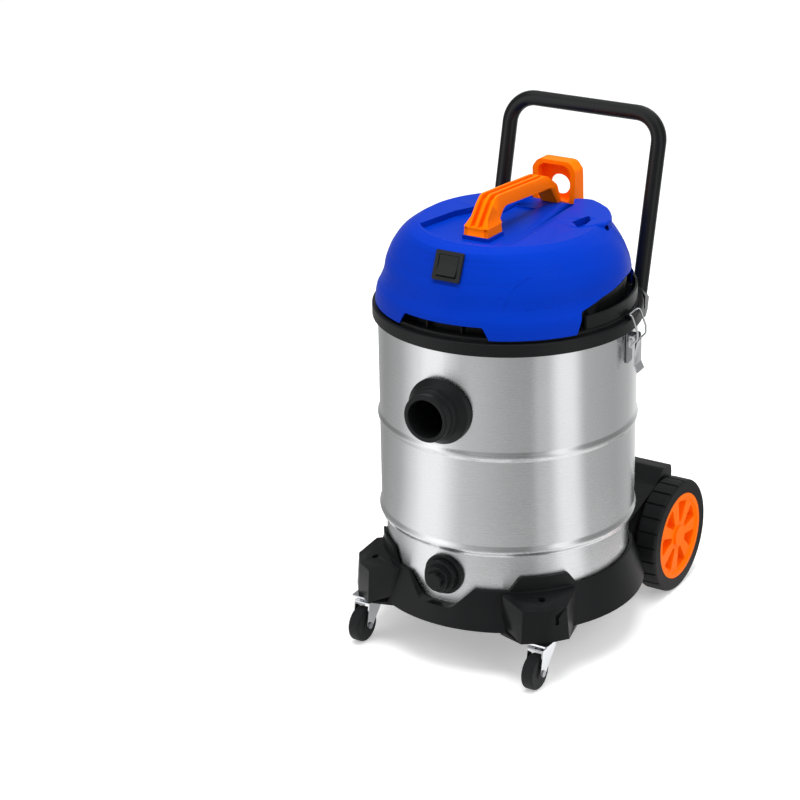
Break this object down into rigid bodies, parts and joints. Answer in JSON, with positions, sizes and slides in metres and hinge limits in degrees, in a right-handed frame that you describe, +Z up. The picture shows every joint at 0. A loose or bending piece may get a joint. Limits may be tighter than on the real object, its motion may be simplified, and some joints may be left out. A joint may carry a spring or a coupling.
{
  "type": "shop vacuum",
  "caption": "Wet and dry shop vacuum: steel drum in a wheeled base, lift-off motor head held by toggle latches, push handle, hose inlet and drain.",
  "frame": {"origin": "on the floor, at the middle of the machine's bounding box seen from above", "axes": "+Z up along the drum, -Y to the front where the hose inlet is, +X to the right seen from behind"},
  "size_m": [0.4018, 0.507, 0.7227],
  "materials": {
    "drum_steel": "satin stainless sheet",
    "black_plastic": "fine grain",
    "black_tube": "satin powder coat",
    "blue_plastic": "satin moulded",
    "orange_plastic": "satin moulded",
    "wheel_tyre": "dull",
    "soft_rubber": "dull",
    "bright_chrome": "bright plated",
    "zinc_steel": "zinc plated",
    "switch_plastic": "satin",
    "motor_metal": "as cast",
    "float_plastic": "plain",
    "filter_fabric": "pleated paper"
  },
  "bodies": {
    "chassis": {"tank_drum": "drum_steel", "rim_ring": "black_plastic", "push_handle": "black_tube", "handle_bolt_right": "zinc_steel", "handle_bolt_left": "zinc_steel", "base_tray": "black_plastic", "rear_axle": "zinc_steel", "wheel_spacer_right": "zinc_steel", "wheel_spacer_left": "zinc_steel", "caster_plate_right": "bright_chrome", "caster_plate_left": "bright_chrome", "inlet_port": "black_plastic", "inlet_gasket": "soft_rubber", "inlet_nut": "black_plastic", "drain_port": "black_plastic", "drain_seal": "soft_rubber", "latch_bracket_right": "zinc_steel", "latch_bracket_left": "zinc_steel", "latch_pin_right": "zinc_steel", "latch_pin_left": "zinc_steel"},
    "wheel_right": {"wheel_tyre_right": "wheel_tyre", "wheel_hub_right": "orange_plastic"},
    "wheel_left": {"wheel_tyre_left": "wheel_tyre", "wheel_hub_left": "orange_plastic"},
    "caster_right": {"caster_fork_right": "bright_chrome", "caster_axle_right": "zinc_steel"},
    "caster_left": {"caster_fork_left": "bright_chrome", "caster_axle_left": "zinc_steel"},
    "caster_roller_right": {"caster_wheel_right": "wheel_tyre"},
    "caster_roller_left": {"caster_wheel_left": "wheel_tyre"},
    "drain_plug": {"drain_cap": "black_plastic"},
    "lever_right": {"latch_lever_right": "bright_chrome"},
    "lever_left": {"latch_lever_left": "bright_chrome"},
    "bail_right": {"latch_bail_right": "bright_chrome"},
    "bail_left": {"latch_bail_left": "bright_chrome"},
    "head": {"head_base": "black_plastic", "head_gasket": "soft_rubber", "lid_cover": "blue_plastic", "cord_gland": "black_plastic", "carry_handle": "orange_plastic", "cable_hook": "orange_plastic", "switch_bezel": "switch_plastic", "motor_body": "motor_metal", "motor_seal_lower": "soft_rubber", "motor_seal_upper": "soft_rubber", "motor_clamp": "black_plastic", "float_cage": "black_plastic"},
    "rocker": {"switch_rocker": "switch_plastic"},
    "rotor": {"motor_rotor": "motor_metal"},
    "float": {"float_ball": "float_plastic"},
    "filter": {"filter_element": "filter_fabric", "filter_ring": "soft_rubber"}
  },
  "joints": [
    {"name": "head_lift", "type": "slide", "parent": "chassis", "child": "head", "axis": [0, 0, 1], "range_m": [0, 0.26]},
    {"name": "lever_right_turn", "type": "hinge", "parent": "chassis", "child": "lever_right", "pos_m": [0.18778, -0.01762, 0.462], "axis": [0.0872, -0.9962, 0], "range_deg": [0, 140]},
    {"name": "lever_left_turn", "type": "hinge", "parent": "chassis", "child": "lever_left", "pos_m": [-0.18778, -0.01762, 0.462], "axis": [0.0872, 0.9962, 0], "range_deg": [0, 140]},
    {"name": "bail_right_turn", "type": "hinge", "parent": "lever_right", "child": "bail_right", "pos_m": [0.18878, -0.01753, 0.453], "axis": [0.0872, -0.9962, 0], "range_deg": [-251, 0]},
    {"name": "bail_left_turn", "type": "hinge", "parent": "lever_left", "child": "bail_left", "pos_m": [-0.18878, -0.01753, 0.453], "axis": [0.0872, 0.9962, 0], "range_deg": [-251, 0]},
    {"name": "filter_pull", "type": "slide", "parent": "head", "child": "filter", "axis": [0, 0, -1], "range_m": [0, 0.12]},
    {"name": "float_rise", "type": "slide", "parent": "head", "child": "float", "axis": [0, 0, 1], "range_m": [0, 0.055]},
    {"name": "rotor_spin", "type": "hinge", "parent": "head", "child": "rotor", "pos_m": [0, -0.03405, 0.5], "axis": [0, 0, 1], "continuous": true},
    {"name": "switch_rock", "type": "hinge", "parent": "head", "child": "rocker", "pos_m": [0, -0.1887, 0.57975], "axis": [1, 0, 0], "range_deg": [0, 14]},
    {"name": "drain_cap_off", "type": "slide", "parent": "chassis", "child": "drain_plug", "axis": [0, -1, 0], "range_m": [0, 0.03]},
    {"name": "wheel_right_roll", "type": "hinge", "parent": "chassis", "child": "wheel_right", "pos_m": [0.161, 0.16855, 0.085], "axis": [1, 0, 0], "continuous": true},
    {"name": "wheel_left_roll", "type": "hinge", "parent": "chassis", "child": "wheel_left", "pos_m": [-0.161, 0.16855, 0.085], "axis": [1, 0, 0], "continuous": true},
    {"name": "caster_right_swivel", "type": "hinge", "parent": "chassis", "child": "caster_right", "pos_m": [0.141, -0.18605, 0.06], "axis": [0, 0, 1], "continuous": true},
    {"name": "caster_left_swivel", "type": "hinge", "parent": "chassis", "child": "caster_left", "pos_m": [-0.141, -0.18605, 0.06], "axis": [0, 0, 1], "continuous": true},
    {"name": "caster_right_roll", "type": "hinge", "parent": "caster_right", "child": "caster_roller_right", "pos_m": [0.141, -0.20505, 0.025], "axis": [1, 0, 0], "continuous": true},
    {"name": "caster_left_roll", "type": "hinge", "parent": "caster_left", "child": "caster_roller_left", "pos_m": [-0.141, -0.20505, 0.025], "axis": [1, 0, 0], "continuous": true}
  ],
  "couplings": [
    {"joint": "lever_right_turn", "follows": "head_lift", "rad_per_m": 9.397},
    {"joint": "lever_left_turn", "follows": "head_lift", "rad_per_m": 9.397},
    {"joint": "bail_right_turn", "follows": "head_lift", "rad_per_m": -16.848},
    {"joint": "bail_left_turn", "follows": "head_lift", "rad_per_m": -16.848}
  ]
}
